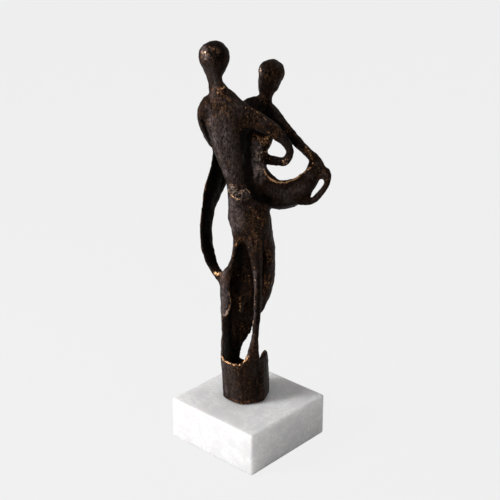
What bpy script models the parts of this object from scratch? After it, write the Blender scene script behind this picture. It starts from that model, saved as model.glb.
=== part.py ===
"""Bronze couple sculpture: two slender figures cast in one piece, on a white marble block.

Blender 4.5 script in metres, +Z up. The origin is the centre of the block's underside, and X and Y run
along the block's sides. The casting has its own frame, with its origin at the centre of its foot, x to
the right and y away from someone who looks at the man's back.
"""

import math

import bmesh
import bpy
from mathutils import Matrix, Vector

# Marble block
BLOCK_WIDTH = 0.090
BLOCK_DEPTH = 0.090
BLOCK_HEIGHT = 0.0367
BLOCK_EDGE_RADIUS = 0.0018
BLOCK_EDGE_SEGMENTS = 4

# Bronze casting
CASTING_HEIGHT = 0.300
CASTING_TURN = math.radians(42.5)
FOOT_OFFSET_X = -0.005
FOOT_OFFSET_Y = 0.001
SHELL_WALL = 0.0032
SHELL_EDGE_SHARE = 0.5
FOOT_FLOOR = 0.006
SEAT_GAP = 0.0003

# The figures' stations are written in three-hundredths of the casting's height
UNIT = CASTING_HEIGHT / 300

# Resolution of the casting's surface
LIMB_SIDES = 20
LIMB_STEPS = 5
STATION_VALUES = 7
CAP_RINGS = 3
CAP_REACH = 0.7
CROWN_REACH = 0.1
FLOOR_REACH = 0.1
PLUG_ROOT = 8
PLUG_SHOULDER = 2
HEAD_ANGLES = (80, 68, 52, 34, 16, 0, -16, -34, -52, -70, -90)
NECK_SHARE = 0.46
SHELL_STEPS = 24
SHELL_EDGE_STEPS = 3
CUP_STEPS = 72
CUP_EDGE_ROWS = 1
VOXEL = 1.2 * UNIT
SMOOTH_REPEATS = 5
CASTING_TRIANGLES = 8000

BRONZE = {"colour": (0.060, 0.042, 0.032), "roughness": 0.45, "metallic": 0.85}
MARBLE = {"colour": (0.86, 0.85, 0.84), "roughness": 0.42, "metallic": 0.0}

# One station of a limb is x, y, z, half width across the view, half depth, then turn in degrees and bow.
# Turn twists the section about the limb's line, and bow moves the section's two edges back from its middle.
# A head is an egg: the x, y, z of its widest place, half width, half depth, height of its crown above
# that place, and the depth below it at which it has narrowed to the neck
MAN_HEAD = (-21.7, -12, 289.0, 11.6, 12.4, 11.6, 19.0)
MAN_NECK = [
    (-21.0, -11.5, 270.0, 5.5, 6.3),
    (-20.2, -12, 266.5, 6.4, 6.2),
    (-18.6, -12, 262.5, 8.0, 6.2),
    (-17.0, -12, 258.0, 10.8, 6.4),
    (-15.5, -12, 253.5, 13.0, 6.6),
]
MAN_TRUNK = [
    (-18.8, -12, 255.5, 8.0, 5.2),
    (-15.8, -12, 250.5, 14.2, 6.8),
    (-13.4, -12, 244.5, 19.4, 8.8),
    (-12.0, -12, 238.0, 19.4, 10.0),
    (-12.2, -12, 229.0, 14.5, 9.8),
    (-11.3, -12, 217.0, 11.5, 8.5),
    (-9.5, -12, 205.0, 9.2, 7.2),
    (-7.1, -12, 193.0, 7.0, 6.2),
    (-5.5, -12, 186.0, 7.6, 6.6),
    (-2.2, -11, 178.0, 11.4, 8.0),
    (2.7, -9, 166.0, 16.4, 8.6),
    (4.8, -9, 155.0, 15.4, 8.0),
    (5.4, -9, 145.5, 13.0, 6.0),
]
MAN_LEFT_ARM = [
    (-24.6, -12, 253.2, 8.0, 6.0),
    (-29.2, -12, 248.5, 6.0, 5.8),
    (-30.6, -11, 241.5, 4.6, 5.2),
    (-29.0, -8, 232.4, 3.8, 4.4),
    (-26.4, -5, 224.7, 3.3, 4.0),
    (-23.4, -1, 218.5, 3.0, 3.8),
    (-18.0, 7, 214.0, 3.0, 3.6),
    (-9.0, 14, 212.5, 3.2, 3.4),
    (2.0, 17, 213.0, 3.0, 3.0),
]
MAN_RIGHT_ARM = [
    (-5.0, -12, 246.5, 7.2, 6.2),
    (4.0, -12, 242.6, 7.6, 6.4),
    (13.5, -11, 237.8, 6.4, 5.8),
    (23.4, -9, 230.4, 5.4, 5.0),
    (30.0, -7, 223.4, 4.2, 4.2),
    (33.8, -6, 217.6, 3.4, 3.6),
    (35.0, -5, 212.2, 3.2, 3.2),
    (31.6, -3, 205.0, 3.4, 3.2),
    (26.6, 1, 203.6, 3.4, 3.4),
    (20.0, 5, 203.4, 4.1, 3.0),
    (12.0, 8, 203.0, 4.6, 2.6),
]
WOMAN_HEAD = (20.9, 16, 270.0, 10.3, 10.6, 10.0, 14.5)
WOMAN_HAIR = [
    (13.8, 13, 272.0, 3.2, 3.4),
    (15.2, 14, 267.5, 4.6, 4.8),
    (14.9, 14, 261.5, 4.6, 4.6),
    (14.6, 15, 256.0, 3.8, 4.2),
    (14.9, 15, 250.5, 3.2, 4.0),
]
WOMAN_NECK = [
    (18.6, 16, 258.5, 6.8, 6.4),
    (17.4, 16, 254.5, 5.4, 5.4),
    (16.8, 16, 250.5, 4.8, 4.8),
    (15.8, 16, 245.5, 5.6, 5.4),
]
WOMAN_TRUNK = [
    (14.0, 16, 246.8, 6.0, 5.0),
    (8.8, 16, 241.8, 12.0, 6.0),
    (9.0, 16, 236.0, 14.5, 7.5),
    (9.4, 15, 228.5, 12.0, 8.6),
    (8.8, 14, 216.5, 10.2, 8.0),
    (8.0, 13, 204.5, 9.6, 7.4),
    (7.0, 13, 194.5, 10.0, 7.4),
    (6.5, 13, 182.0, 12.0, 7.8),
    (5.5, 11, 168.0, 14.5, 8.2),
    (5.5, 8, 153.0, 15.0, 7.4),
    (5.5, 7, 140.0, 14.0, 6.0),
]
WOMAN_LEFT_ARM = [
    (15.5, 16, 242.0, 6.0, 5.4),
    (21.4, 16, 238.8, 5.2, 5.2),
    (27.3, 15, 231.6, 4.6, 4.6),
    (34.8, 13, 222.4, 4.6, 4.2),
    (42.9, 11, 214.2, 4.1, 4.0),
    (50.2, 10, 207.5, 3.8, 3.8),
    (55.6, 9, 201.5, 4.6, 4.2),
    (61.2, 7, 190.8, 4.9, 4.0),
]
WOMAN_RIGHT_ARM = [
    (2.0, 16, 238.5, 6.0, 5.4),
    (-5.0, 13, 234.5, 4.4, 4.6),
    (-11.5, 7, 230.5, 3.8, 4.0),
    (-16.0, 0, 229.0, 3.6, 3.8),
    (-19.0, -6, 230.0, 3.2, 3.4),
]
WOMAN_RIBS = [
    (16.0, 8, 231.0, 7.2, 5.2),
    (15.8, 8, 224.0, 6.8, 5.2),
    (15.0, 7, 217.5, 6.4, 5.2),
    (13.6, 8, 212.0, 4.8, 4.6),
    (16.0, 10, 204.5, 3.2, 4.0),
]
WOMAN_FOREARM = [
    (63.4, 6.5, 194.6, 3.6, 3.2),
    (64.9, 5, 189.4, 3.3, 3.0),
    (63.8, 3, 184.0, 2.7, 2.8),
    (60.4, 2, 178.6, 2.6, 2.6),
    (56.2, 1, 174.0, 2.6, 2.6),
    (50.6, 0.5, 170.4, 2.9, 2.4),
    (43.0, 1.5, 169.6, 2.4, 2.2),
]
CRESCENT = [
    (10.6, 11, 208.0, 6.8, 4.5, 0, 1.0),
    (10.5, 9, 196.0, 7.0, 4.5, 0, 2.0),
    (14.2, 6, 184.8, 10.4, 4.2, 0, 3.5),
    (21.4, 4, 176.0, 13.0, 4.0, 0, 5.0),
    (31.0, 3, 173.9, 12.8, 3.8, 0, 6.0),
    (40.3, 3, 177.4, 11.8, 3.8, 0, 5.0),
    (47.6, 4, 183.4, 9.3, 3.8, 0, 3.5),
    (52.8, 6, 190.4, 7.0, 3.8, 0, 2.0),
    (54.4, 8, 199.2, 4.8, 3.8, 0, 0.5),
]
FRONT_LEG = [
    (7.0, -9, 155.0, 7.0, 6.0),
    (7.8, -11, 145.0, 7.2, 5.6),
    (8.2, -12, 139.0, 6.6, 5.4),
    (8.9, -13, 129.9, 5.6, 5.0),
    (10.0, -13, 119.6, 4.3, 4.6),
    (10.5, -13, 109.2, 3.7, 4.0),
    (10.8, -13, 100.0, 3.2, 3.6),
    (10.7, -13, 91.7, 3.1, 3.2),
    (10.3, -13, 82.0, 3.1, 2.9),
    (9.5, -14, 72.0, 3.0, 2.8),
    (8.8, -14, 64.0, 3.0, 2.8),
    (8.0, -15, 57.5, 3.4, 3.0),
    (7.2, -15.5, 49.0, 4.7, 2.6),
    (6.4, -15.5, 41.0, 6.2, 2.4),
    (5.6, -15.5, 32.0, 7.0, 2.0),
]
LEFT_THIGH = [
    (-4.0, -9, 150.0, 6.5, 5.8),
    (-5.6, -9, 143.0, 3.6, 5.4),
    (-7.0, -9, 137.0, 1.9, 5.0),
    (-8.4, -9, 129.5, 1.4, 4.8),
    (-10.2, -9, 121.5, 1.7, 4.6),
    (-14.6, -9, 112.0, 4.4, 4.2),
    (-15.2, -9, 103.0, 4.2, 4.0),
    (-15.2, -9.5, 95.0, 4.2, 3.8),
    (-14.8, -10, 87.0, 4.3, 3.6),
    (-15.8, -10, 79.0, 3.2, 3.4),
]
INNER_MASS = [
    (-1.0, 1, 146.0, 6.0, 5.0),
    (0.0, 1, 130.0, 8.0, 5.5),
    (-1.0, 3, 112.0, 11.5, 6.5),
    (0.0, 5, 96.0, 12.0, 6.0),
    (2.0, 9, 85.0, 9.5, 4.5),
]
INNER_RIDGE = [
    (-4.0, 1, 112.0, 6.0, 5.0),
    (-4.2, 3, 96.0, 4.8, 4.8),
    (-3.6, 5, 84.0, 3.4, 4.2),
    (-3.2, 9, 72.0, 2.4, 3.4),
]
RIGHT_HIP = [
    (11.0, 0, 166.0, 7.0, 8.0),
    (14.4, 0, 157.0, 6.8, 10.2),
    (16.6, 0, 147.0, 5.6, 11.0),
    (18.2, 0, 134.0, 5.8, 10.5),
    (19.2, 1, 121.0, 5.5, 9.5),
    (19.2, 2, 109.0, 5.3, 8.4),
    (17.6, 3, 96.5, 5.2, 7.2),
    (14.8, 3, 85.5, 4.2, 5.6),
    (12.0, 2, 75.0, 2.2, 3.6),
]
LEFT_STREAMER = [
    (-22.0, -2, 217.0, 2.5, 2.0, -50),
    (-21.5, 2, 208.0, 5.0, 2.0, -50),
    (-20.8, 4, 197.0, 9.6, 2.0, -45),
    (-21.4, 5, 186.6, 12.0, 2.0, -42),
    (-25.3, 5, 174.5, 10.8, 2.0, -45),
    (-28.4, 4, 162.5, 8.6, 2.0, -50),
    (-30.0, 3, 149.7, 7.6, 2.2, -50),
    (-30.0, 2, 137.3, 7.0, 2.3, -48),
    (-27.8, 0, 125.2, 5.8, 2.6, -42),
    (-24.0, -3, 116.5, 4.2, 3.0, -30),
    (-18.8, -5, 109.0, 4.0, 3.4, -20),
    (-15.5, -6, 102.0, 3.0, 3.2),
]

# One row of the robe is z, centre x, centre y, half width, half depth, then its first and last clock angle.
# Clock angles in plan run 0 towards the viewer, 90 right, 180 away and 270 left, all in degrees.
ROBE = [
    (24, 0.0, 0.0, 18.0, 17.5, 296, 193),
    (36, 0.0, 0.0, 18.2, 17.5, 290, 184),
    (48, 0.0, 0.0, 17.8, 17.0, 280, 163),
    (60, -0.5, 0.0, 17.2, 16.5, 277, 148),
    (76, -1.0, 0.0, 17.2, 16.0, 279, 118),
    (92, 0.5, 0.0, 18.2, 15.5, 292, 104),
    (108, 3.6, 0.0, 18.2, 15.5, 296, 98),
    (124, 6.6, -0.5, 15.6, 15.5, 292, 96),
    (140, 7.0, -1.0, 14.6, 15.0, 288, 96),
    (156, 5.5, -1.0, 15.0, 14.5, 286, 96),
]

# The cup's outline is z, centre x, half width, half depth and how flat its facets are, from 0 to 1.
# Its rim is clock angle and height
CUP_FACETS = 6
CUP_CORNER = -12
CUP_OUTLINE = [
    (-5.0, 0.8, 17.2, 17.4, 0.60),
    (2.0, 0.9, 18.5, 18.4, 0.60),
    (9.0, 1.0, 18.8, 18.8, 0.55),
    (22.0, 0.5, 18.5, 18.6, 0.45),
    (36.0, 0.0, 18.4, 17.8, 0.30),
    (46.0, 0.0, 17.6, 17.2, 0.15),
]
CUP_RIM = [
    (0, 39.0),
    (18, 44.0),
    (32, 42.0),
    (42, 38.5),
    (54, 42.5),
    (66, 45.0),
    (80, 43.0),
    (94, 35.0),
    (120, 28.0),
    (150, 23.0),
    (180, 22.0),
    (200, 26.0),
    (225, 36.0),
    (262, 38.0),
    (282, 37.0),
    (300, 36.8),
    (325, 36.0),
    (342, 36.4),
    (360, 39.0),
]


def clear_scene():
    for old in list(bpy.data.objects):
        bpy.data.objects.remove(old)


def new_collection(name):
    collection = bpy.data.collections.new(name)
    bpy.context.scene.collection.children.link(collection)
    return collection


def new_material(name, look):
    material = bpy.data.materials.new(name)
    material.use_nodes = True
    shader = material.node_tree.nodes["Principled BSDF"]
    shader.inputs["Base Color"].default_value = (*look["colour"], 1)
    shader.inputs["Roughness"].default_value = look["roughness"]
    shader.inputs["Metallic"].default_value = look["metallic"]
    return material


def catmull_rom(p, q, r, s, t):
    """The value at t between q and r, on the smooth curve through p, q, r and s."""
    return 0.5 * (
        2 * q
        + (r - p) * t
        + (2 * p - 5 * q + 4 * r - s) * t**2
        + (3 * q - p - 3 * r + s) * t**3
    )


def smooth_rows(rows, steps):
    """The rows, with others put between them on smooth curves through each column."""
    ends = [rows[0], *rows, rows[-1]]
    filled = []
    for a, b, c, d in zip(ends, ends[1:], ends[2:], ends[3:]):
        for i in range(steps):
            filled.append([catmull_rom(*four, i / steps) for four in zip(a, b, c, d)])
    filled.append(list(rows[-1]))
    return filled


def clock_point(angle, centre_x, centre_y, half_width, half_depth, z):
    turn = math.radians(angle)
    x = centre_x + half_width * math.sin(turn)
    y = centre_y - half_depth * math.cos(turn)
    return Vector((x, y, z)) * UNIT


def add_grid(mesh, rows, closed):
    """Quads between rows of vertices, joined end to start where the rows are closed."""
    count = len(rows[0])
    for low, high in zip(rows, rows[1:]):
        for i in range(count if closed else count - 1):
            j = (i + 1) % count
            mesh.faces.new((low[i], low[j], high[j], high[i]))


def section(centre, tangent, across, deep, turn, bow):
    """The points of one elliptical section, square to the limb's line."""
    away = Vector((0, 1, 0))
    deep_axis = (away - away.project(tangent)).normalized()
    deep_axis = Matrix.Rotation(math.radians(turn), 3, tangent) @ deep_axis
    across_axis = tangent.cross(deep_axis)
    points = []
    for i in range(LIMB_SIDES):
        angle = 2 * math.pi * i / LIMB_SIDES
        sideways = across * math.cos(angle)
        backward = deep * math.sin(angle) + bow * math.cos(angle) ** 2
        points.append(centre + across_axis * sideways + deep_axis * backward)
    return points


def limb(mesh, stations, cap_reach=CAP_REACH):
    """Adds a closed, round-ended limb through the stations to the mesh."""
    full = [tuple(s) + (0,) * (STATION_VALUES - len(s)) for s in stations]
    rows = smooth_rows(full, LIMB_STEPS)
    centres = [Vector(row[:3]) * UNIT for row in rows]
    tangents = []
    for i in range(len(rows)):
        before = centres[max(i - 1, 0)]
        after = centres[min(i + 1, len(rows) - 1)]
        tangents.append((after - before).normalized())
    rings = []
    for end, side in ((0, -1), (len(rows) - 1, 1)):
        _, _, _, across, deep, turn, bow = rows[end]
        reach = cap_reach * min(across, deep) * UNIT
        cap = []
        for ring in range(CAP_RINGS, 0, -1):
            lift = math.radians(90 * ring / (CAP_RINGS + 1))
            centre = centres[end] + tangents[end] * side * reach * math.sin(lift)
            shrink = math.cos(lift) * UNIT
            cap.append((centre, tangents[end], across * shrink, deep * shrink, turn, bow * UNIT))
        rings.append(cap)
    middle = [
        (c, t, row[3] * UNIT, row[4] * UNIT, row[5], row[6] * UNIT)
        for c, t, row in zip(centres, tangents, rows)
    ]
    rings = rings[0] + middle + rings[1][::-1]
    vertices = [[mesh.verts.new(p) for p in section(*ring)] for ring in rings]
    add_grid(mesh, vertices, closed=True)
    mesh.faces.new(vertices[0][::-1])
    mesh.faces.new(vertices[-1])


def head(mesh, x, y, z, half_width, half_depth, crown, jaw):
    """Adds an egg with its round end up, which narrows to the neck below."""
    stations = []
    for angle in HEAD_ANGLES:
        lift = math.sin(math.radians(angle))
        if angle > 0:
            width = math.cos(math.radians(angle))
            stations.append((x, y, z + crown * lift, half_width * width, half_depth * width))
        else:
            width = NECK_SHARE + (1 - NECK_SHARE) * math.cos(math.radians(angle * 2)) / 2
            width += (1 - NECK_SHARE) / 2
            share = -angle / 90
            stations.append((x, y, z - jaw * share, half_width * width, half_depth * width))
    limb(mesh, stations, CROWN_REACH)


def mesh_object(name, mesh, collection):
    bmesh.ops.recalc_face_normals(mesh, faces=mesh.faces)
    data = bpy.data.meshes.new(name)
    mesh.to_mesh(data)
    mesh.free()
    made = bpy.data.objects.new(name, data)
    collection.objects.link(made)
    return made


def evaluated_mesh(source):
    """A mesh with the object's modifiers applied."""
    bpy.context.view_layer.update()
    graph = bpy.context.evaluated_depsgraph_get()
    return bpy.data.meshes.new_from_object(source.evaluated_get(graph))


def thick_shell(name, mesh, full, collection):
    """The open surface in the mesh, given the casting's wall, which thins towards vertices not in full."""
    shell = mesh_object(name, mesh, collection)
    shell.vertex_groups.new(name="full wall").add(full, 1, "REPLACE")
    solidify = shell.modifiers.new("wall", "SOLIDIFY")
    solidify.vertex_group = "full wall"
    solidify.thickness_vertex_group = SHELL_EDGE_SHARE
    solidify.thickness = SHELL_WALL
    solidify.offset = 0
    solidify.use_even_offset = True
    return shell


def robe_shell(collection):
    """The hollow robe, open towards the viewer, that wraps the legs from behind."""
    mesh = bmesh.new()
    rows = []
    for z, x, y, half_width, half_depth, first, last in smooth_rows(ROBE, LIMB_STEPS):
        row = []
        for i in range(SHELL_STEPS + 1):
            angle = first + (last - first) * i / SHELL_STEPS
            row.append(mesh.verts.new(clock_point(angle, x, y, half_width, half_depth, z)))
        rows.append(row)
    add_grid(mesh, rows, closed=False)
    inner = range(SHELL_EDGE_STEPS, SHELL_STEPS + 1 - SHELL_EDGE_STEPS)
    full = [row * (SHELL_STEPS + 1) + i for row in range(len(rows)) for i in inner]
    return thick_shell("robe shell", mesh, full, collection)


def rim_height(angle):
    """The height of the cup's torn rim at a clock angle."""
    for (a, low), (b, high) in zip(CUP_RIM, CUP_RIM[1:]):
        if a <= angle <= b:
            return low + (high - low) * (angle - a) / (b - a)
    return CUP_RIM[-1][1]


def cup_shell(collection):
    """The cup at the foot, whose rim is torn to a different height all the way round."""
    mesh = bmesh.new()
    outline = smooth_rows(CUP_OUTLINE, LIMB_STEPS)
    foot = CUP_OUTLINE[0][0]
    rows = []
    for level in range(len(outline)):
        row = []
        for i in range(CUP_STEPS):
            angle = 360 * i / CUP_STEPS
            share = level / (len(outline) - 1)
            z = foot + (rim_height(angle) - foot) * share
            x, half_width, half_depth, flatness = cup_size(outline, z)
            size = facet_size(angle, flatness)
            point = clock_point(angle, x, 0, half_width * size, half_depth * size, z)
            row.append(mesh.verts.new(point))
        rows.append(row)
    add_grid(mesh, rows, closed=True)
    full = list(range(CUP_STEPS * (len(outline) - CUP_EDGE_ROWS)))
    return thick_shell("cup shell", mesh, full, collection)


def facet_size(angle, flatness):
    """The share of its full size that the cup has at a clock angle: 1 at the facets' corners, less between."""
    half = math.pi / CUP_FACETS
    off_corner = math.radians(angle - CUP_CORNER) % (2 * half)
    flat = math.cos(half) / math.cos(off_corner - half)
    return 1 + flatness * (flat - 1)


def cup_size(outline, z):
    """The cup's centre x, half width, half depth and facet flatness at a height."""
    for (low, *a), (high, *b) in zip(outline, outline[1:]):
        if z <= high:
            share = max(0, (z - low) / (high - low))
            return [p + (q - p) * share for p, q in zip(a, b)]
    return outline[-1][1:]


def cup_floor(mesh):
    """The plug that closes the cup's foot, up to the floor inside."""
    z, x, half_width, half_depth, flatness = CUP_OUTLINE[0]
    narrowest = facet_size(CUP_CORNER + 180 / CUP_FACETS, flatness)
    top = FOOT_FLOOR / UNIT
    levels = (z - PLUG_ROOT, top - PLUG_SHOULDER, top)
    size = (half_width * narrowest, half_depth * narrowest)
    limb(mesh, [(x, 0, level, *size) for level in levels], FLOOR_REACH)


def fuse(pieces, name, collection):
    """One closed skin round all the pieces, as if they were modelled in wax and cast."""
    joined = bmesh.new()
    for piece in pieces:
        joined.from_mesh(evaluated_mesh(piece))
        bpy.data.objects.remove(piece)
    casting = mesh_object(name, joined, collection)
    remesh = casting.modifiers.new("skin", "REMESH")
    remesh.mode = "VOXEL"
    remesh.voxel_size = VOXEL
    smooth = casting.modifiers.new("wax", "SMOOTH")
    smooth.factor = 0.5
    smooth.iterations = SMOOTH_REPEATS
    casting.data = evaluated_mesh(casting)
    casting.modifiers.clear()
    return casting


def reduce_triangles(casting, target):
    """Keeps about the target number of triangles."""
    count = sum(len(face.vertices) - 2 for face in casting.data.polygons)
    decimate = casting.modifiers.new("fewer faces", "DECIMATE")
    decimate.ratio = min(1, target / count)
    casting.data = evaluated_mesh(casting)
    casting.modifiers.clear()


def connected_vertices(start):
    """All the vertices that edges join to this one."""
    found = {start}
    waiting = [start]
    while waiting:
        vertex = waiting.pop()
        for edge in vertex.link_edges:
            neighbour = edge.other_vert(vertex)
            if neighbour not in found:
                found.add(neighbour)
                waiting.append(neighbour)
    return found


def drop_crumbs(mesh):
    """Keeps the one body that holds the most vertices."""
    left = set(mesh.verts)
    bodies = []
    while left:
        body = connected_vertices(next(iter(left)))
        bodies.append(body)
        left -= body
    bodies.sort(key=len)
    for body in bodies[:-1]:
        bmesh.ops.delete(mesh, geom=list(body), context="VERTS")


def cut_flat_foot(casting):
    """Cuts the casting off flat at the height where it stands on the block."""
    mesh = bmesh.new()
    mesh.from_mesh(casting.data)
    drop_crumbs(mesh)
    everything = mesh.verts[:] + mesh.edges[:] + mesh.faces[:]
    cut = bmesh.ops.bisect_plane(
        mesh, geom=everything, plane_co=(0, 0, 0), plane_no=(0, 0, -1), clear_outer=True
    )
    edges = [part for part in cut["geom_cut"] if isinstance(part, bmesh.types.BMEdge)]
    bmesh.ops.holes_fill(mesh, edges=edges)
    bmesh.ops.recalc_face_normals(mesh, faces=mesh.faces)
    mesh.to_mesh(casting.data)
    mesh.free()


def make_casting(collection, material):
    """The two figures, their robe and the cup that they stand in, as one bronze."""
    mesh = bmesh.new()
    for stations in (
        MAN_NECK,
        MAN_TRUNK,
        MAN_LEFT_ARM,
        MAN_RIGHT_ARM,
        WOMAN_HAIR,
        WOMAN_NECK,
        WOMAN_TRUNK,
        WOMAN_LEFT_ARM,
        WOMAN_RIGHT_ARM,
        WOMAN_RIBS,
        WOMAN_FOREARM,
        CRESCENT,
        FRONT_LEG,
        LEFT_THIGH,
        INNER_MASS,
        INNER_RIDGE,
        RIGHT_HIP,
        LEFT_STREAMER,
    ):
        limb(mesh, stations)
    head(mesh, *MAN_HEAD)
    head(mesh, *WOMAN_HEAD)
    cup_floor(mesh)
    limbs = mesh_object("limbs", mesh, collection)
    pieces = [limbs, robe_shell(collection), cup_shell(collection)]
    casting = fuse(pieces, "bronze_couple", collection)
    reduce_triangles(casting, CASTING_TRIANGLES)
    cut_flat_foot(casting)
    casting.location = (FOOT_OFFSET_X, FOOT_OFFSET_Y, BLOCK_HEIGHT + SEAT_GAP)
    casting.rotation_euler = (0, 0, CASTING_TURN)
    casting.data.materials.clear()
    casting.data.materials.append(material)
    casting.data.shade_smooth()


def make_block(collection, material):
    """The marble block, with its edges slightly rounded."""
    mesh = bmesh.new()
    bmesh.ops.create_cube(mesh, size=1)
    bmesh.ops.scale(mesh, vec=(BLOCK_WIDTH, BLOCK_DEPTH, BLOCK_HEIGHT), verts=mesh.verts)
    block = mesh_object("marble_block", mesh, collection)
    block.location = (0, 0, BLOCK_HEIGHT / 2)
    bevel = block.modifiers.new("rounded edges", "BEVEL")
    bevel.width = BLOCK_EDGE_RADIUS
    bevel.segments = BLOCK_EDGE_SEGMENTS
    block.data.materials.append(material)


def main():
    clear_scene()
    sculpture = new_collection("bronze couple sculpture")
    make_block(sculpture, new_material("white marble", MARBLE))
    make_casting(sculpture, new_material("dark bronze", BRONZE))


main()
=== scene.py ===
"""Looks of the bronze couple sculpture: a worked bronze skin, white marble, a pale floor and soft light."""

import math
from types import SimpleNamespace

import bmesh
import bpy
import numpy as np
from mathutils import Matrix, Vector, noise
from mathutils.bvhtree import BVHTree
from mathutils.kdtree import KDTree


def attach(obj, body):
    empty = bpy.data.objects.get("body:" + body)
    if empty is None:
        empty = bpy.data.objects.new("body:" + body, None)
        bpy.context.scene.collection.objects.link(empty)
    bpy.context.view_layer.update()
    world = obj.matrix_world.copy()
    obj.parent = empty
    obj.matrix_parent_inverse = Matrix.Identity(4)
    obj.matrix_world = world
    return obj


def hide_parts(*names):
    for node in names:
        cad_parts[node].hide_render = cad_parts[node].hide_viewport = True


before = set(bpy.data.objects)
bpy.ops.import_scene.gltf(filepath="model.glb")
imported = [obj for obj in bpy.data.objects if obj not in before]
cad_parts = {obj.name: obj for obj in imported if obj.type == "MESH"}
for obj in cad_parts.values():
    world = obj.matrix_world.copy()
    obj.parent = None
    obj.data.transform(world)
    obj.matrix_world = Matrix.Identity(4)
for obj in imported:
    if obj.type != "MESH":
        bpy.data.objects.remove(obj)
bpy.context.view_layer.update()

MM = 0.001
Z_AXIS = Vector((0, 0, 1))

BRONZE_NODE = "bronze_couple"
BLOCK_NODE = "marble_block"

# The casting's own frame: x to the right and y away for someone who looks at the man's back
CASTING_TURN = math.radians(42.5)
CASTING_ORIGIN = Vector((-5.0, 1.0, 37.0)) * MM

# Camera, solved from the block's corners in the photograph: degrees, metres and millimetres of lens
VIEW_TURN = 42.45
VIEW_PITCH = 22.88
VIEW_DISTANCE = 0.998
VIEW_RIGHT = 0.0014
VIEW_UP = 0.1556
LENS = 85
SENSOR = 36
CLIP_START = 0.01
PHOTO_SIZE = 500

# Lights: turn from the block's front and rise in degrees, distance and size in metres, and watts
KEY = {"turn": -30, "rise": 25, "distance": 1.0, "size": 0.37, "watts": 11.0}
RIM = {"turn": 165, "rise": 45, "distance": 1.6, "size": 0.8, "watts": 3}

# The place that the lights face, and the strength of the white surroundings
LIT_PLACE = Vector((0, 0, 0.17))
SKY = 0.26
WHITE = (1, 1, 1, 1)

# The floor that is seen, and under it the one that throws light back up
FLOOR_REACH = 20
FLOOR_HEIGHT = -0.02 * MM
FLOOR_GREY = 0.03
FLOOR_GLOW = 0.845
BOUNCE_HEIGHT = -0.04 * MM
BOUNCE_GREY = 0.83

# The bronze skin's mesh: how near its vertices are joined, its grain, and the rounds in which it is
# smoothed and swelled back, by shares of the way to the neighbours' mean
WELD = 0.001 * MM
SKIN_VOXEL = 0.90 * MM
SMOOTH_ROUNDS = 12
SMOOTH_SHARE = 0.6
SWELL_SHARE = -0.62

# The foot of the bronze has no relief at its very bottom, and all of it from this height on, in millimetres
FOOT_PLAIN = 2.0

# How much open air each place sees: rays a place, their reach and how far they start off the surface
OPEN_RAYS = 14
OPEN_REACH = 32 * MM
OPEN_START = 0.6 * MM
OPEN_ROUNDS = 3

# How many neighbours away a place is compared with its surroundings to find the edges
EDGE_ROUNDS = 6

# Noise of the relief: how its octaves fade, how much finer each is, their number, and what a seed moves
FRACTAL_FADE = 1.0
FRACTAL_FINER = 2.0
FRACTAL_OCTAVES = 2
FRACTAL_SHIFT = 17.3
CELL_SHIFT = 11.7

# Waves of the worked wax: height and grain in millimetres, how much taller than wide, and seed
WAVES = {
    "swells": (0.40, 10, 1, 1),
    "thumbed": (0.30, 4.6, 1.7, 2),
    "fine": (0.14, 2.2, 1, 5),
}
CREASE_DEPTH = 0.40
CREASE_LEVEL = 0.25
CREASE_WAVE = {"grain": 7.0, "tall": 2.2, "seed": 3}

# What roughness adds: lumps and pits, with their heights and grains in millimetres
LUMP_HEIGHT = 0.50
LUMP_WAVE = {"grain": 2.3, "seed": 4}
PIT_DEPTH = 0.60
PIT_LEVEL = 0.42
PIT_WAVE = {"grain": 2.4, "seed": 2}

# How far the marks' edges stray in millimetres, and how many times as far those of the patina do
RAGGED = 0.8
RAGGED_WAVE = {"grain": 2.0, "seed": 6}
ROUGH_STRAY = 3
BAND_STRAY = 2

# Pixels between the points of a traced mark
TRACE_STEP = 0.7

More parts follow.
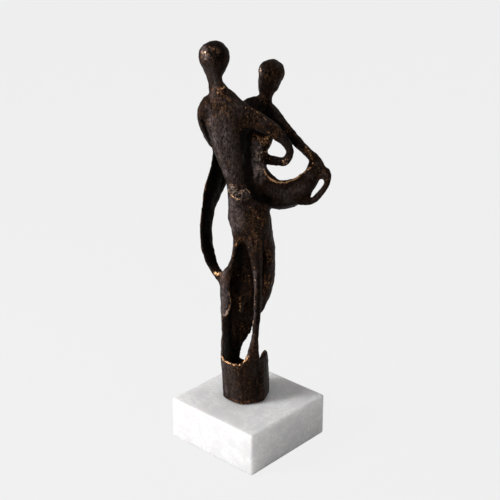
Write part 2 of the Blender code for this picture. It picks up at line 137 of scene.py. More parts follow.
# Marks of the modelling tool, each placed by pixels of the 500 x 500 photograph and cast onto the bronze:
# pixels, half width and height in millimetres, and how much bare bronze shows
# The bare bronze of the glints, dabs, patches, crescent rim and strip end is partly painted highlight
MARKS = {
    # Heads
    "crown dab 1": (((204.5, 48), (208, 45.5)), 1.4, 0.30, 0.6),
    "crown dab 2": (((202, 52), (205.5, 52.5), (208, 55)), 2.2, 0.32, 0.95),
    "crown dab 3": (((211.5, 55.5), (213, 58)), 1.1, 0.25, 0.9),
    "crown dab 4": (((213, 44.5), (219, 45)), 1.5, 0.30, 0.4),
    "crown dab 5": (((201, 57), (204, 59), (208, 58.5)), 1.5, 0.35, 0.7),
    "crown dab 6": (((210, 47), (214, 50)), 1.6, 0.35, 0.42),
    "crown dab 7": (((217, 48), (219, 52)), 1.5, 0.30, 0.36),
    "crown dent": (((221, 50), (223, 56)), 1.4, -0.30, 0.0),
    "her crown dab": (((260.6, 68.5), (260.9, 72)), 2.6, 0.45, 0.85),
    # Neck, shoulders and arms
    "collar": (((218.5, 89.3), (222, 88.5), (225.5, 86.8)), 1.1, 0.40, 1.3),
    "collar left": (((211, 90), (214, 92), (218, 92.5)), 0.9, 0.20, 0.5),
    "neck patch": (((216, 90), (222, 95), (229, 100)), 6.0, 0.0, 0.50),
    "shoulder seam": (((206, 108), (212, 107), (219, 108), (226, 106)), 1.6, 0.20, 0.40),
    "armpit crease": (((202.5, 120), (205, 128), (209.5, 138), (214, 149)), 1.9, -1.30, 0.0),
    "arm ridge": (
        ((239, 107), (250, 109), (258, 113), (266, 120.5), (274, 127.5), (284, 135)),
        1.8, 0.50, 0.22),
    "arm lower edge": (((262, 127.5), (268, 132), (273, 138), (276, 141)), 1.6, 0.35, 0.45),
    "her arm glints": (((263, 108), (269, 116), (276, 125), (284, 134)), 2.6, 0.10, 0.42),
    "forearm top": (((267, 157), (274, 158), (281, 159.5), (285, 159)), 4.0, 0.9, 0.0),
    "ring elbow": (((284.5, 162.5), (286.3, 163)), 2.8, 0.9, 0.0),
    "elbow rim": (((304, 146), (309, 152), (312, 158), (312.5, 163)), 1.6, 0.35, 0.6),
    # The woman's chest and the crescent
    "chest patch": (((256, 138), (261, 144), (268, 138)), 7.0, 0.10, 0.72),
    "chest lip": (((260.5, 152), (263, 151), (266, 151.5)), 1.4, 0.60, 1.8),
    "rib glints": (((258, 150), (258, 160), (260, 170)), 5.0, 0.10, 0.60),
    "ribs edge": (((264, 155), (263.5, 161), (262.5, 168), (263.5, 174)), 1.6, 0.35, 0.50),
    "crescent rim": (
        ((263.5, 169), (265, 173), (268, 177), (272, 180.6), (277, 182.8), (283, 182.9),
         (289, 181.7), (295, 179.3), (300, 175.6), (306, 171.8), (310, 168)),
        1.3, 0.70, 2.5),
    "crescent inside": (((267, 172), (271, 176.5), (275, 179.8), (279, 181)), 0.9, -0.50, 0.0),
    # Belt and hips
    "belt patch": (((233, 188), (240, 192), (246, 190)), 6.0, 0.15, 0.62),
    "belt top": (((230, 184.5), (235, 184), (240, 185), (245, 185.5)), 1.4, 0.35, 0.45),
    "belt ridge": (((229, 190.5), (231.5, 194.5), (235, 197.8), (238, 199)), 1.8, 0.55, 1.00),
    "belt ridge right": (((238, 199), (243, 200), (248, 198)), 1.8, 0.40, 0.36),
    "belt right": (((246.5, 190), (250, 192.5)), 1.6, 0.40, 1.0),
    "hip seam": (((243, 203), (246, 206), (250, 207)), 1.5, 0.30, 0.45),
    "pelvis seam": (((256, 217), (262, 220), (269, 222)), 1.5, 0.25, 0.40),
    # Front leg and the openings beside it
    "opening apex": (
        ((235.5, 244.5), (237, 241.6), (240, 239), (244, 240), (247.5, 246), (250, 254), (252.5, 261)),
        1.8, 0.35, 0.36),
    "knee": (((253.6, 266.5), (255, 268.5)), 1.3, 0.50, 0.6),
    "knee crease": (((253.5, 272.5), (256, 272.8), (259, 272)), 0.8, -0.35, 0.0),
    "shin edge": (((255, 276), (255.2, 290), (255, 305), (254, 318), (252.6, 327)), 0.7, 0.30, 0.30),
    "shin foot edge": (((251, 336), (249.5, 343), (248, 351)), 0.9, 0.20, 0.6),
    "leg groove": (
        ((262.5, 246), (263.3, 260), (263.5, 275), (262.5, 290), (261.2, 303)),
        1.0, -0.70, 0.0),
    "lens band": (((264.5, 283.6), (268, 283), (271.5, 283.5)), 0.9, 0.25, 0.42),
    "lens hollow": (((266.5, 273), (267.2, 277)), 1.3, -0.55, 0.0),
    "lens hollow rim": (((268.6, 271), (269.6, 275), (268.4, 280), (266, 281.5)), 0.7, 0.30, 0.38),
    # The robe's left edge and the strip
    "flap edge": (((228.4, 291), (229.6, 297), (231, 303), (229.6, 307), (227.4, 311)), 1.1, 0.35, 1.0),
    "flap curl": (((224.8, 316), (226.2, 314.2), (227.2, 311.5)), 1.9, 0.50, 1.25),
    "flap glint": (((227.2, 311.5), (228.0, 309.8)), 1.1, 0.40, 1.4),
    "flap glint top": (((229.0, 306.5), (229.3, 304.5)), 1.1, 0.30, 1.4),
    "robe edge": (((224.4, 321), (224.2, 335), (223.8, 351)), 1.2, 0.0, 0.6),
    "strip edge": (
        ((215.4, 147), (212.6, 158), (210, 168), (207, 180), (204, 192), (202.4, 204)),
        1.2, 0.0, 0.40),
    "strip end": (((215.6, 272.6), (217.4, 274.4), (219.6, 273)), 1.6, 0.70, 2.4),
    # Inside the robe
    "inner ridge": (((239.6, 298), (240.2, 306), (240.4, 312)), 1.0, 0.50, 0.6),
    "inner groove left": (((236.4, 281), (236.8, 290), (235.8, 299)), 0.9, -0.50, 0.0),
    "inner ridge right": (((246, 286), (246.6, 296), (245.6, 303)), 0.9, 0.35, 0.3),
    "inner streak 1": (((237.5, 262), (238.5, 275), (238, 288)), 2.2, 0.25, 0.42),
    "inner streak 2": (((243, 255), (244.5, 270), (245, 284)), 2.0, 0.25, 0.42),
    "inner streak 3": (((249, 276), (249.5, 292), (249, 306)), 2.2, 0.25, 0.42),
    "inner streak 4": (((241, 318), (242, 330), (240, 342)), 2.4, 0.25, 0.42),
    "inner streak 5": (((233, 325), (233.5, 338), (234, 350)), 2.0, 0.25, 0.42),
    # Cup
    "cup rim": (
        ((221.4, 356.5), (224, 360.6), (229, 363), (235, 364.4), (240, 364), (244.6, 361.6), (247.6, 356.6)),
        2.0, 0.35, 1.45),
    "foot patch": (((230, 399), (238, 402), (246, 403), (254, 400)), 3.6, 0.0, 0.50),
}

# Places where the wax was left rough: pixel, radius in millimetres, roughness and warmth of the patina
ROUGH_PLACES = {
    "crown": ((214, 50), 12, 0.9, 1.0),
    "her crown": ((272, 72), 13, 0.7, 1.0),
    "neck": ((221, 92), 11, 0.7, 1.0),
    "shoulders": ((222, 104), 15, 0.5, 1.0),
    "upper arm": ((254, 116), 14, 0.9, 1.2),
    "ring arm": ((276, 132), 12, 0.8, 1.0),
    "her shoulder": ((264, 105), 12, 1.3, 0.5),
    "her arm": ((290, 132), 16, 1.0, 0.8),
    "her elbow": ((308, 152), 9, 0.4, 1.0),
    "her forearm": ((322, 172), 14, 0.6, 0.9),
    "chest": ((263, 141), 13, 1.5, 1.0),
    "ribs": ((262, 157), 11, 1.5, 0.7),
    "torso": ((258, 174), 11, 1.3, 0.5),
    "belt": ((238, 193), 10, 1.4, 0.5),
    "hip": ((257, 215), 15, 0.8, 1.0),
    "thighs": ((256, 240), 16, 0.7, 1.2),
    "lens": ((268, 258), 15, 0.9, 1.2),
    "lens low": ((268, 285), 13, 0.8, 1.2),
    "opening apex": ((240, 243), 12, 0.5, 1.8),
    "opening left": ((231, 259), 11, 0.5, 1.6),
    "inner wall": ((240, 275), 14, 1.0, 1.0),
    "inner left": ((232, 292), 12, 0.9, 1.7),
    "inner ledge": ((240, 300), 13, 1.0, 0.9),
    "inner low": ((240, 330), 15, 1.1, 1.0),
    "flap top": ((226, 280), 10, 0.4, 1.1),
    "cup lip": ((238, 367), 10, 0.4, 0.9),
    "cup side": ((256, 384), 13, 0.8, 0.45),
    "foot": ((243, 403), 13, 0.6, 1.0),
}

# Painted shade, partly real black patina in hollows: black along these pixels where shadow falls.
# Each: pixels, half width in millimetres and darkness
SHADE_AND_PATINA_PLACES = {
    "crown": (((209, 44), (217, 43), (223, 50), (221, 60), (214, 55)), 6.5, 0.6),
    "jaw": (((221, 60), (222, 70), (218, 78)), 5.0, 0.35),
    "her shoulder": (((249, 101), (256, 103), (263, 108), (270, 117)), 7.0, 1.0),
    "her arm": (((272, 119), (280, 127), (287, 136), (294, 143)), 6.0, 0.9),
    "armpit": (((202.5, 121), (205, 129), (208.5, 139), (212.5, 150), (214, 162)), 2.8, 0.9),
    "arch": (((246, 130), (250, 129), (255, 130), (258, 132.5)), 5.0, 1.0),
    "back gap": (((243.8, 132), (243.8, 146), (244.2, 160), (247, 175), (249, 188), (256, 196)), 6.5, 1.0),
    "back gap right": (((247, 133), (247.2, 148), (247.8, 162), (249.5, 174)), 6.0, 1.0),
    "back gap low": (((249, 184), (254, 192), (260, 198), (266, 201)), 8.0, 1.0),
    "trunk edge": (((244.2, 132), (244.2, 146), (244.0, 158), (243.0, 167)), 4.2, 1.0),
    "under crescent": (((270, 206), (285, 205), (300, 203)), 4.0, 0.6),
    "strip top": (((216, 160), (213, 175), (210, 190)), 11.0, 1.0),
    "strip": (((209, 190), (207, 210), (206, 230), (208, 250), (212, 262)), 9.0, 1.0),
    "inner wall": (((239, 247), (240, 262), (239, 280), (236, 292)), 7.0, 0.7),
    "inner low": (((230, 312), (230, 325), (230, 340), (233, 352)), 4.0, 0.8),
    "leg middle": (((258.6, 274), (258.6, 300), (257.4, 324)), 2.4, 0.8),
    "groove": (((263.5, 236), (263, 255), (263, 275), (262, 295)), 2.2, 0.8),
    "lens edge": (((273.5, 246), (275.5, 262), (275.5, 285), (271.5, 300)), 3.0, 0.55),
    "cup right": (((257, 366), (258.5, 382), (256, 397)), 8.0, 0.45),
}

# Painted sheen, partly real patina rubbed smooth: paler and greyer along these pixels, mostly on lit sides.
# Each: pixels, half width in millimetres and paleness
SHEEN_AND_RUBBED_PLACES = {
    "crown": (((203, 48), (205, 56)), 5.5, 1.1),
    "her crown": (((260.5, 68), (261, 73)), 3.6, 1.0),
    "neck": (((215, 78), (216, 86), (214, 96)), 5.0, 0.7),
    "shoulders": (((216, 97), (226, 100), (238, 106)), 9.0, 0.45),
    "upper arm": (((248, 112), (256, 116), (264, 122)), 5.0, 0.45),
    "forearm": (((272, 157), (280, 160), (288, 158)), 4.0, 0.35),
    "her forearm": (((318, 165), (324, 176)), 5.0, 0.4),
    "back": (((222, 116), (225, 135), (229, 150), (232, 165), (236, 180)), 11.0, 0.42),
    "back edge": (((209, 108), (211, 122), (216, 140), (221, 158), (226, 174)), 5.0, 0.65),
    "her torso": (((257, 146), (257, 162), (259, 176)), 8.0, 1.7),
    "crescent": (((272, 190), (285, 192), (300, 188)), 8.0, 0.40),
    "belt": (((232, 189), (238, 194), (245, 193)), 8.0, 1.1),
    "hip edge": (((231, 200), (231, 215), (233, 230)), 6.0, 0.8),
    "thigh": (((238, 212), (239, 226)), 7.0, 0.7),
    "shin edge": (((254.7, 272), (254.7, 290), (254.3, 305), (253.3, 322)), 2.2, 1.0),
    "leg line": (((262.2, 288), (262.2, 300), (261.8, 313)), 0.9, 0.6),
    "foot of leg": (((252.5, 335), (250, 346), (247, 356)), 3.0, 0.5),
    "flap": (((222.5, 272), (224, 285), (225, 300), (224, 316)), 6.0, 1.2),
    "robe edge": (((223, 318), (222.5, 335), (222.5, 352)), 3.0, 0.2),
    "cup": (((229, 368), (231, 383), (235, 396)), 10.0, 0.28),
    "cup edge": (((223, 362), (224.5, 380), (227, 394)), 4.0, 0.6),
}

# Noises of the bronze's material: grain in millimetres, detail, roughness and stretch along x, y and z
BRONZE_NOISES = {
    "broad": (16, 2.0, 0.55, (1, 1, 1)),
    "blotch": (2.8, 5.0, 0.70, (1, 1, 1)),
    "streak": (2.2, 3.0, 0.6, (1, 1, 4)),
    "speck": (0.95, 3.0, 0.65, (1, 1, 1)),
    "grit": (1.25, 4.0, 0.70, (1, 1, 2)),
    "grain": (1.6, 4.0, 0.62, (1, 1, 1)),
}

# Colours of the patina and of the bare metal, and the material's sheen and bumps
# Painted shade, partly real patina in hollows: the brown darkens where little open air is seen
SHADED_BROWN = (0.0110, 0.0055, 0.0031)
OPEN_BROWN = (0.0270, 0.0150, 0.0100)
# Painted sheen, partly rubbed patina: the grey of the pale places
SHEEN_AND_RUBBED_GREY = (0.182, 0.1440, 0.1410)
SMOOTH_MOTTLE = (0.0150, 0.0100, 0.0080)
ROUGH_MOTTLE = (0.0030, 0.0016, 0.0011)
GRIT_BROWN = (0.0090, 0.0050, 0.0035)
RUST = (0.115, 0.054, 0.025)
# Painted shade, partly settled patina in hollows: the black of the dark places
SHADE_AND_PATINA_BLACK = (0.0030, 0.0016, 0.0010)
FLECK = (0.32, 0.200, 0.125)
DULL_COPPER = (0.44, 0.190, 0.070)
BRIGHT_COPPER = (0.87, 0.49, 0.245)
# Painted highlight, partly rubbed metal: the pale bronze of the pale places
RUBBED_AND_HIGHLIGHT_BRONZE = (0.82, 0.66, 0.54)
BRONZE_SPECULAR = 0.03
GRAIN_BUMP = 0.65 * MM
SPECK_BUMP = 0.24 * MM

# The marble's noises, as above, its colours, and how light scatters inside it
CLOUD_NOISE = (11, 4.0, 0.60, (1, 1.4, 0.8))
CRYSTAL_NOISE = (2.4, 4.0, 0.70, (1, 1, 1))
MARBLE_WHITE = (0.92, 0.913, 0.902)
MARBLE_CLOUD = (0.77, 0.757, 0.762)
MARBLE_CRYSTAL = (0.78, 0.765, 0.768)
MARBLE_SCATTERED = 0.85
MARBLE_SCATTER_COLOUR = (1.0, 0.93, 0.88)
MARBLE_SCATTER_REACH = 10 * MM
MARBLE_BUMP = 0.05 * MM


def casting_matrix():
    return Matrix.Translation(CASTING_ORIGIN) @ Matrix.Rotation(CASTING_TURN, 4, "Z")


def to_casting(points):
    """The part frame's points in metres, as an array of the casting frame's millimetres."""
    inverse = np.array(casting_matrix().inverted())
    return (points @ inverse[:3, :3].T + inverse[:3, 3]) / MM


def evaluated_mesh(source):
    bpy.context.view_layer.update()
    graph = bpy.context.evaluated_depsgraph_get()
    return bpy.data.meshes.new_from_object(source.evaluated_get(graph))


def add_object(name, data):
    made = bpy.data.objects.new(name, data)
    bpy.context.scene.collection.objects.link(made)
    return made


def welded_copy(node, name):
    """A copy of a CAD node's mesh with its vertices joined."""
    mesh = bmesh.new()
    mesh.from_mesh(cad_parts[node].data)
    bmesh.ops.remove_doubles(mesh, verts=mesh.verts, dist=WELD)
    data = bpy.data.meshes.new(name)
    mesh.to_mesh(data)
    mesh.free()
    return add_object(name, data)


def fine_skin():
    """The casting's solid, as an even fine mesh with its facets smoothed away."""
    skin = welded_copy(BRONZE_NODE, "bronze_skin")
    remesh = skin.modifiers.new("even mesh", "REMESH")
    remesh.mode = "VOXEL"
    remesh.voxel_size = SKIN_VOXEL
    skin.data = evaluated_mesh(skin)
    skin.modifiers.clear()
    places = unfaceted(read_vectors(skin.data.vertices, "co"), edge_pairs(skin.data))
    write_places(skin.data, places)
    return skin


def read_vectors(items, name):
    flat = np.empty(len(items) * 3, np.float32)
    items.foreach_get(name, flat)
    return flat.reshape(-1, 3).astype(float)


def write_places(data, places):
    data.vertices.foreach_set("co", places.astype(np.float32).ravel())
    data.update()


def edge_pairs(data):
    flat = np.empty(len(data.edges) * 2, np.int32)
    data.edges.foreach_get("vertices", flat)
    return flat.reshape(-1, 2)


def averaged(values, edges, share=0.5):
    """The values, moved by a share of the way to the mean of their neighbours'."""
    count = np.bincount(edges.ravel(), minlength=len(values)).astype(float)
    total = np.zeros_like(values)
    np.add.at(total, edges[:, 0], values[edges[:, 1]])
    np.add.at(total, edges[:, 1], values[edges[:, 0]])
    mean = total / (count if values.ndim == 1 else count[:, None])
    return values + share * (mean - values)


def evened(values, edges, rounds):
    """The values, averaged with their neighbours' some rounds over."""
    for _ in range(rounds):
        values = averaged(values, edges)
    return values


def unfaceted(places, edges):
    """The places smoothed, and swelled back each time so that thin limbs keep their thickness."""
    for _ in range(SMOOTH_ROUNDS):
        places = averaged(places, edges, SMOOTH_SHARE)
        places = averaged(places, edges, SWELL_SHARE)
    return places


def ridge_height(points, normals, edges):
    """How far each point stands proud of its surroundings: ridges above 0, creases below."""
    around = evened(points, edges, EDGE_ROUNDS)
    return np.einsum("ij,ij->i", points - around, normals)


def fractal(points, grain, tall=1.0, seed=0):
    """Smooth noise between about -1 and 1, with features of the grain's size in millimetres."""
    moved = points / np.array((grain, grain, grain * tall)) + seed * FRACTAL_SHIFT
    numbers = (FRACTAL_FADE, FRACTAL_FINER, FRACTAL_OCTAVES)
    return np.array([noise.fractal(p, *numbers) for p in moved.tolist()])


def cells(points, grain, seed):
    """0 at the middle of each cell and rising to its edges, for cells of about the grain in millimetres."""
    moved = points / grain + seed * CELL_SHIFT
    return np.array([noise.voronoi(p)[0][0] for p in moved.tolist()])


def soft_step(values):
    """The values held between 0 and 1, with a soft start and end."""
    share = np.clip(values, 0, 1)
    return share * share * (3 - 2 * share)


def direction(turn, rise):
    """The direction towards a place, by its turn from the block's front and its rise, in degrees."""
    turn = math.radians(turn)
    rise = math.radians(rise)
    return Vector((math.sin(turn) * math.cos(rise), -math.cos(turn) * math.cos(rise), math.sin(rise)))


def view_axes():
    """The camera's right, up and backward directions."""
    back = direction(VIEW_TURN, VIEW_PITCH)
    turn = math.radians(VIEW_TURN)
    right = Vector((math.cos(turn), math.sin(turn), 0))
    return right, back.cross(right), back


def view_place():
    right, up, back = view_axes()
    return back * VIEW_DISTANCE + right * VIEW_RIGHT + up * VIEW_UP


def cast(tree, pixel):
    """The point of the bronze that shows at a pixel of the photograph, or None."""
    right, up, back = view_axes()
    middle = PHOTO_SIZE / 2
    focal = LENS / SENSOR * PHOTO_SIZE
    towards = right * (pixel[0] - middle) + up * (middle - pixel[1]) - back * focal
    return tree.ray_cast(view_place(), towards.normalized())[0]


def traced(tree, pixels):
    """Points of the bronze close together along a line of pixels."""
    found = []
    for (x0, y0), (x1, y1) in zip(pixels, pixels[1:]):
        steps = max(1, round(math.hypot(x1 - x0, y1 - y0) / TRACE_STEP))
        for i in range(steps + 1):
            share = i / steps
            hit = cast(tree, (x0 + (x1 - x0) * share, y0 + (y1 - y0) * share))
            if hit is not None:
                found.append(hit)
    return found


def surface_tree(data, places):
    return BVHTree.FromPolygons([tuple(p) for p in places], [tuple(p.vertices) for p in data.polygons])


def closeness(places, line, half_width, ragged):
    """1 on the line, falling smoothly to 0 at the ragged half width, for each place in metres."""
    share = np.zeros(len(places))
    low = np.min(line, axis=0) - half_width
    high = np.max(line, axis=0) + half_width
    near = np.nonzero(np.all((places > low) & (places < high), axis=1))[0]
    tree = KDTree(len(line))
    for i, point in enumerate(line):
        tree.insert(point, i)
    tree.balance()
    for i in near:
        share[i] = 1 - (tree.find(places[i])[2] + ragged[i]) / half_width
    return soft_step(share)


def tool_marks(tree, places, ragged):
    """Height in millimetres of all the tool marks, and how bare they are, partly as painted highlights, at
    each place.
    """
    height = np.zeros(len(places))
    wear = np.zeros(len(places))
    for pixels, half_width, rise, bare in MARKS.values():
        share = closeness(places, traced(tree, pixels), half_width * MM, ragged)
        height += rise * share
        wear = np.maximum(wear, bare * share)
    return height, wear


def rough_patches(tree, places, ragged):
    """Roughness of the wax and warmth of the patina, at each place."""
    rough = np.zeros(len(places))
    warm = np.zeros(len(places))
    for pixel, radius, rougher, warmer in ROUGH_PLACES.values():
        share = closeness(places, [cast(tree, pixel)], radius * MM, ragged * ROUGH_STRAY)
        rough = np.maximum(rough, rougher * share)
        warm = np.maximum(warm, warmer * share)
    return rough, warm


def bands(tree, places, ragged, wanted):
    """The strength of the strongest of the wanted bands, at each place."""
    strength = np.zeros(len(places))
    for pixels, half_width, strongest in wanted.values():
        share = closeness(places, traced(tree, pixels), half_width * MM, ragged * BAND_STRAY)
        strength = np.maximum(strength, strongest * share)
    return strength


def relief(points, rough):
    """The worked wax surface, as a height along the normals in millimetres."""
    height = np.zeros(len(points))
    for rise, grain, tall, seed in WAVES.values():
        height += rise * fractal(points, grain, tall, seed)
    height += CREASE_DEPTH * (CREASE_LEVEL - np.abs(fractal(points, **CREASE_WAVE)))
    lumps = LUMP_HEIGHT * fractal(points, **LUMP_WAVE)
    pits = PIT_DEPTH * (PIT_LEVEL - cells(points, **PIT_WAVE))
    return height + rough * (lumps + pits)


def sky_directions(count):
    """Directions spread evenly over the half sphere round +Z, more of them near it."""
    found = []
    for i in range(count):
        height = math.sqrt((i + 0.5) / count)
        across = math.sqrt(1 - height * height)
        turn = i * math.pi * (3 - math.sqrt(5))
        found.append(Vector((across * math.cos(turn), across * math.sin(turn), height)))
    return found


def openness(data, places, normals):
    """The share of rays from each place that meet no bronze nearby."""
    tree = surface_tree(data, places)
    directions = sky_directions(OPEN_RAYS)
    share = np.zeros(len(places))
    for i, (place, normal) in enumerate(zip(places.tolist(), normals.tolist())):
        normal = Vector(normal)
        turn = Z_AXIS.rotation_difference(normal)
        start = Vector(place) + normal * OPEN_START
        clear = 0
        for towards in directions:
            clear += tree.ray_cast(start, turn @ towards, OPEN_REACH)[0] is None
        share[i] = clear / OPEN_RAYS
    return share


def store(data, values):
    """Keeps each named array as an attribute of the mesh's vertices, for the material to read."""
    for name, numbers in values.items():
        attribute = data.attributes.new(name, "FLOAT", "POINT")
        attribute.data.foreach_set("value", numbers.astype(np.float32))


def sculpt(skin):
    """Moves the skin's vertices to give it its relief, and stores what its patina is like at each, with its
    painted shade, sheen and highlights.
    """
    data = skin.data
    places = read_vectors(data.vertices, "co")
    normals = read_vectors(data.vertex_normals, "vector")
    edges = edge_pairs(data)
    points = to_casting(places)
    tree = surface_tree(data, places)
    ragged = RAGGED * fractal(points, **RAGGED_WAVE) * MM
    height, wear = tool_marks(tree, places, ragged)
    rough, warm = rough_patches(tree, places, ragged)
    # Painted shade and painted sheen, each partly real patina
    dark = bands(tree, places, ragged, SHADE_AND_PATINA_PLACES)
    pale = bands(tree, places, ragged, SHEEN_AND_RUBBED_PLACES)
    store(data, {"wear": wear, "warm": warm, "rough": rough, "dark": dark, "pale": pale})
    height += relief(points, rough)
    height *= soft_step(points[:, 2] / FOOT_PLAIN)
    places += normals * (height * MM)[:, None]
    write_places(data, places)
    normals = read_vectors(data.vertex_normals, "vector")
    edge = ridge_height(places / MM, normals, edges)
    store(data, {"edge": edge, "open": evened(openness(data, places, normals), edges, OPEN_ROUNDS)})


class Nodes:
    """Short names for building a material's nodes."""

    def __init__(self, name):
        self.material = bpy.data.materials.new(name)
        self.material.use_nodes = True
        self.tree = self.material.node_tree
        self.shader = self.tree.nodes["Principled BSDF"]
        coordinates = self.tree.nodes.new("ShaderNodeTexCoord")
        self.place = coordinates.outputs["Object"]

    def link(self, source, target):
        self.tree.links.new(source, target)

    def shade(self, sources):
        """Links each source to the shader's socket of that name."""
        for name, source in sources.items():
            self.link(source, self.shader.inputs[name])

    def noise(self, grain, detail, roughness, stretch):
        """Noise between 0 and 1, with features of the grain's size in millimetres."""
        mapping = self.tree.nodes.new("ShaderNodeMapping")
        mapping.inputs["Scale"].default_value = [1 / (grain * MM * s) for s in stretch]
        self.link(self.place, mapping.inputs["Vector"])
        texture = self.tree.nodes.new("ShaderNodeTexNoise")
        texture.inputs["Scale"].default_value = 1.0
        texture.inputs["Detail"].default_value = detail
        texture.inputs["Roughness"].default_value = roughness
        self.link(mapping.outputs["Vector"], texture.inputs["Vector"])
        return texture.outputs["Fac"]

    def attribute(self, name):
        reader = self.tree.nodes.new("ShaderNodeAttribute")
        reader.attribute_name = name
        return reader.outputs["Fac"]

    def math(self, operation, first, second):
        node = self.tree.nodes.new("ShaderNodeMath")
        node.operation = operation
        for socket, value in zip(node.inputs, (first, second)):
            if isinstance(value, (int, float)):
                socket.default_value = value
            else:
                self.link(value, socket)
        return node.outputs[0]

    def plus(self, first, second):
        return self.math("ADD", first, second)

    def minus(self, first, second):
        return self.math("SUBTRACT", first, second)

    def times(self, first, second):
        return self.math("MULTIPLY", first, second)

    def larger(self, first, second):
        return self.math("MAXIMUM", first, second)

    def weighed(self, *parts):
        """The sum of some values, each times its weight."""
        total, *others = [self.times(value, weight) for value, weight in parts]
        for product in others:
            total = self.plus(total, product)
        return total

    def range(self, value, low, high, to_low=0.0, to_high=1.0):
        node = self.tree.nodes.new("ShaderNodeMapRange")
        node.interpolation_type = "SMOOTHSTEP"
        self.link(value, node.inputs["Value"])
        limits = {"From Min": low, "From Max": high, "To Min": to_low, "To Max": to_high}
        for name, number in limits.items():
            node.inputs[name].default_value = number
        return node.outputs["Result"]

    def mix(self, share, first, second):
        """A colour between two, each of which is a colour or a socket."""
        node = self.tree.nodes.new("ShaderNodeMix")
        node.data_type = "RGBA"
        self.link(share, node.inputs["Factor"])
        sockets = [s for s in node.inputs if s.type == "RGBA"]
        for socket, value in zip(sockets, (first, second)):
            if isinstance(value, tuple):
                socket.default_value = (*value, 1)
            else:
                self.link(value, socket)
        return [s for s in node.outputs if s.type == "RGBA"][0]

    def bump(self, height, distance, before=None):
        node = self.tree.nodes.new("ShaderNodeBump")
        node.inputs["Distance"].default_value = distance
        node.inputs["Strength"].default_value = 1.0
        self.link(height, node.inputs["Height"])
        if before is not None:
            self.link(before, node.inputs["Normal"])
        return node.outputs["Normal"]


def bronze_fields(nodes):
    """The noises and the stored values that the bronze's looks are mixed from."""
    field = SimpleNamespace(**{name: nodes.noise(*numbers) for name, numbers in BRONZE_NOISES.items()})
    field.rough = nodes.attribute("rough")
    field.wear = nodes.attribute("wear")
    field.edge = nodes.attribute("edge")
    field.shown = nodes.range(nodes.attribute("open"), 0.40, 0.95)
    field.dark = nodes.range(nodes.attribute("dark"), 0.05, 0.75)
    field.warm = nodes.plus(nodes.attribute("warm"), nodes.range(field.broad, 0.40, 0.64, 0.18, 0.70))
    field.pale = nodes.plus(nodes.attribute("pale"), nodes.range(field.broad, 0.30, 0.48, 0.22, 0.0))
    return field


def brown_patina(nodes, field):
    """Brown, greyer where rubbed smooth and where painted with sheen, mottled and gritty."""
    # Painted shade, partly real patina in hollows: darker where little open air is seen
    brown = nodes.mix(field.shown, SHADED_BROWN, OPEN_BROWN)
    # Painted sheen, partly rubbed patina: greyer in the pale places
    brown = nodes.mix(field.pale, brown, SHEEN_AND_RUBBED_GREY)
    mottle = nodes.range(nodes.weighed((field.blotch, 1.0), (field.streak, 0.6)), 0.70, 0.92)
    calm = nodes.range(field.rough, 0.0, 0.8, 0.55, 0.05)
    shade = nodes.mix(field.rough, SMOOTH_MOTTLE, ROUGH_MOTTLE)
    brown = nodes.mix(nodes.larger(mottle, calm), shade, brown)
    gritty = nodes.range(field.grit, 0.38, 0.58, 0.92, 0.0)
    gritty = nodes.times(gritty, nodes.range(field.pale, 0.3, 1.0, 1.0, 0.75))
    return nodes.mix(gritty, brown, GRIT_BROWN)


def aged_patina(nodes, field):
    """The brown patina with rust where it is warm, black of painted shade and settled patina in the dark
    places, and a few copper flecks.
    """
    rusty = nodes.weighed((field.streak, 0.35), (field.blotch, 0.5), (field.speck, 0.65))
    rusty = nodes.times(nodes.range(rusty, 0.69, 0.94), field.warm)
    brown = nodes.mix(nodes.range(rusty, 0.0, 1.0, 0.0, 0.90), brown_patina(nodes, field), RUST)
    # Painted shade, partly settled patina: black over the dark places
    black = nodes.mix(field.dark, brown, SHADE_AND_PATINA_BLACK)
    fleck = nodes.times(nodes.range(field.speck, 0.60, 0.74), nodes.times(field.warm, field.shown))
    return nodes.mix(nodes.range(fleck, 0.1, 0.9, 0.0, 0.65), black, FLECK)


def bare_and_glint_share(nodes, field):
    """How much bare metal shows, in patches along the edges and the tool marks, partly as painted
    highlights.
    """
    patchy = nodes.range(nodes.weighed((field.blotch, 0.6), (field.speck, 1.0)), 0.72, 0.94, 0.20, 1.30)
    patchy = nodes.larger(patchy, nodes.range(field.wear, 1.1, 2.1, 0.0, 0.80))
    patchy = nodes.times(patchy, nodes.range(field.dark, 0.0, 1.0, 1.0, 0.65))
    bare = nodes.plus(nodes.times(nodes.range(field.edge, 0.12, 0.38), 0.64), field.wear)
    return nodes.range(nodes.times(bare, patchy), 0.22, 1.05)


def bare_metal_and_glints(nodes, field, worn_and_glinting):
    """Copper that brightens as more of it shows, partly as painted glints, and pale bronze where it is
    rubbed smooth and where painted with sheen.
    """
    copper = nodes.mix(nodes.range(worn_and_glinting, 0.30, 0.95), DULL_COPPER, BRIGHT_COPPER)
    return nodes.mix(nodes.range(field.pale, 0.4, 1.3, 0.0, 0.75), copper, RUBBED_AND_HIGHLIGHT_BRONZE)


def bronze_metallic(nodes, field, worn_and_glinting):
    patina = nodes.range(field.pale, 0.0, 1.0, 0.60, 0.30)
    patina = nodes.times(patina, nodes.range(field.dark, 0.0, 1.0, 1.0, 0.0))
    return nodes.larger(patina, nodes.range(worn_and_glinting, 0.0, 0.6, 0.0, 0.9))


def bronze_roughness(nodes, field, worn_and_glinting):
    patina = nodes.range(field.blotch, 0.25, 0.75, 0.38, 0.58)
    return nodes.minus(patina, nodes.range(worn_and_glinting, 0.0, 1.0, 0.0, 0.14))


def bronze_normal(nodes, field):
    """A fine grain, deeper where the wax was left rough."""
    depth = nodes.range(field.rough, 0.0, 1.2, 0.95, 2.2)
    grained = nodes.bump(nodes.times(field.grain, depth), GRAIN_BUMP)
    return nodes.bump(nodes.times(field.speck, depth), SPECK_BUMP, before=grained)


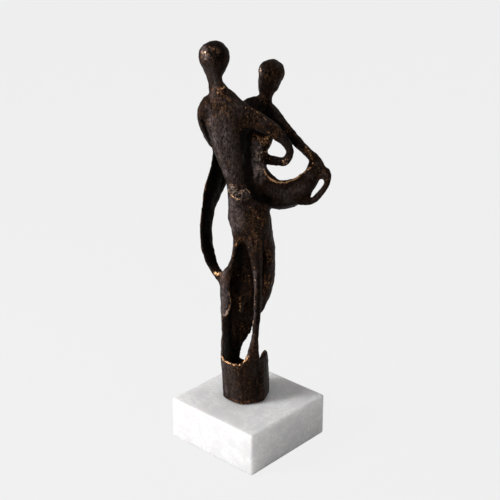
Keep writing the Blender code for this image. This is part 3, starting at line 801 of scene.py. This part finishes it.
def bronze_material():
    """Dark brown patina over bronze: black in the recesses and shadows (painted shade, partly patina),
    greyer where smooth and where lit (painted sheen), copper where bare, with painted glints.
    """
    nodes = Nodes("dark_bronze_patina")
    field = bronze_fields(nodes)
    worn_and_glinting = bare_and_glint_share(nodes, field)
    nodes.shade({
        "Base Color": nodes.mix(worn_and_glinting, aged_patina(nodes, field), bare_metal_and_glints(nodes, field, worn_and_glinting)),
        "Metallic": bronze_metallic(nodes, field, worn_and_glinting),
        "Roughness": bronze_roughness(nodes, field, worn_and_glinting),
        "Normal": bronze_normal(nodes, field),
    })
    nodes.shader.inputs["Specular IOR Level"].default_value = BRONZE_SPECULAR
    return nodes.material


def marble_material():
    """White marble, honed, with faint grey clouds."""
    nodes = Nodes("white_marble_honed")
    clouds = nodes.noise(*CLOUD_NOISE)
    crystals = nodes.noise(*CRYSTAL_NOISE)
    cloudy = nodes.mix(nodes.range(clouds, 0.40, 0.64), MARBLE_WHITE, MARBLE_CLOUD)
    nodes.shade({
        "Base Color": nodes.mix(nodes.range(crystals, 0.36, 0.62), MARBLE_CRYSTAL, cloudy),
        "Roughness": nodes.range(crystals, 0.3, 0.7, 0.34, 0.46),
        "Normal": nodes.bump(crystals, MARBLE_BUMP),
    })
    nodes.shader.inputs["Subsurface Weight"].default_value = MARBLE_SCATTERED
    nodes.shader.inputs["Subsurface Radius"].default_value = MARBLE_SCATTER_COLOUR
    nodes.shader.inputs["Subsurface Scale"].default_value = MARBLE_SCATTER_REACH
    return nodes.material


def give(target, material):
    target.data.materials.clear()
    target.data.materials.append(material)


def make_bronze():
    skin = fine_skin()
    sculpt(skin)
    skin.data.shade_smooth()
    give(skin, bronze_material())
    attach(skin, "root")
    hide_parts(BRONZE_NODE)


def make_marble():
    give(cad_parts[BLOCK_NODE], marble_material())


def matt_nodes(name, grey):
    """The nodes of a plain, matt and grey material."""
    nodes = Nodes(name)
    nodes.shader.inputs["Base Color"].default_value = (grey, grey, grey, 1)
    nodes.shader.inputs["Roughness"].default_value = 1.0
    return nodes


def make_plane(name, height):
    mesh = bmesh.new()
    bmesh.ops.create_grid(mesh, x_segments=1, y_segments=1, size=FLOOR_REACH)
    data = bpy.data.meshes.new(name)
    mesh.to_mesh(data)
    mesh.free()
    plane = add_object(name, data)
    plane.location = (0, 0, height)
    return plane


def make_floor():
    """A pale floor that looks the same all over, because it glows and throws no light."""
    floor = make_plane("floor", FLOOR_HEIGHT)
    nodes = matt_nodes("pale_floor", FLOOR_GREY)
    nodes.shader.inputs["Specular IOR Level"].default_value = 0.0
    nodes.shader.inputs["Emission Color"].default_value = WHITE
    nodes.shader.inputs["Emission Strength"].default_value = FLOOR_GLOW
    give(floor, nodes.material)
    floor.visible_diffuse = False
    floor.visible_glossy = False
    floor.visible_shadow = False


def make_bounce():
    """The floor that the camera doesn't see, which throws the light back up."""
    bounce = make_plane("floor_bounce", BOUNCE_HEIGHT)
    give(bounce, matt_nodes("pale_floor_bounce", BOUNCE_GREY).material)
    bounce.visible_camera = False


def make_light(name, light):
    lamp = bpy.data.lights.new(name, "AREA")
    lamp.shape = "DISK"
    lamp.size = light["size"]
    lamp.energy = light["watts"]
    holder = add_object(name, lamp)
    towards = direction(light["turn"], light["rise"])
    holder.location = LIT_PLACE + towards * light["distance"]
    holder.rotation_mode = "QUATERNION"
    holder.rotation_quaternion = towards.to_track_quat("Z", "Y")


def make_sky():
    world = bpy.data.worlds.new("studio")
    world.use_nodes = True
    bpy.context.scene.world = world
    background = world.node_tree.nodes["Background"]
    background.inputs["Color"].default_value = WHITE
    background.inputs["Strength"].default_value = SKY


def make_camera():
    _, _, back = view_axes()
    camera = add_object("camera", bpy.data.cameras.new("camera"))
    camera.data.lens = LENS
    camera.data.sensor_width = SENSOR
    camera.data.clip_start = CLIP_START
    camera.location = view_place()
    camera.rotation_euler = back.to_track_quat("Z", "Y").to_euler()
    bpy.context.scene.camera = camera
    bpy.context.scene.view_settings.view_transform = "Standard"


make_camera()
make_floor()
make_bounce()
make_light("key", KEY)
make_light("rim", RIM)
make_sky()
make_marble()
make_bronze()
